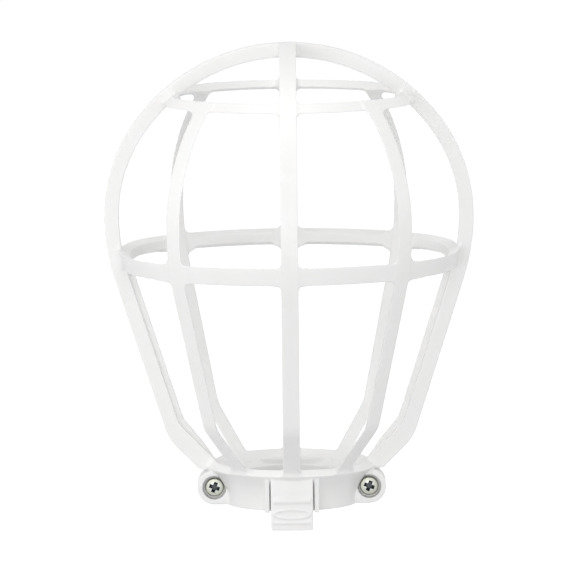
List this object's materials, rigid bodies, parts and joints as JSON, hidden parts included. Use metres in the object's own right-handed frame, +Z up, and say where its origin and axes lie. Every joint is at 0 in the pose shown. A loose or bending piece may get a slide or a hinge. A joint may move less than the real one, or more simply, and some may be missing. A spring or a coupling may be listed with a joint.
{
  "type": "bulb cage guard",
  "caption": "Open moulded cage with a domed top and tapered lower ribs that clamps round a lampholder's neck and guards the bulb.",
  "frame": {"origin": "on the lampholder's axis, at the bottom rim of the clamp collar", "axes": "+Z up the lamp axis to the crown, -Y to the finger tab and screw heads, +X to the right-hand lug"},
  "size_m": [0.1152, 0.1152, 0.1499],
  "materials": {
    "cage_plastic": "satin moulded",
    "zinc_steel": "zinc plated"
  },
  "bodies": {
    "root": {"front_half": "cage_plastic", "rear_half": "cage_plastic", "clamp_screw_left": "zinc_steel", "clamp_screw_right": "zinc_steel", "clamp_nut_left": "zinc_steel", "clamp_nut_right": "zinc_steel"}
  },
  "joints": []
}
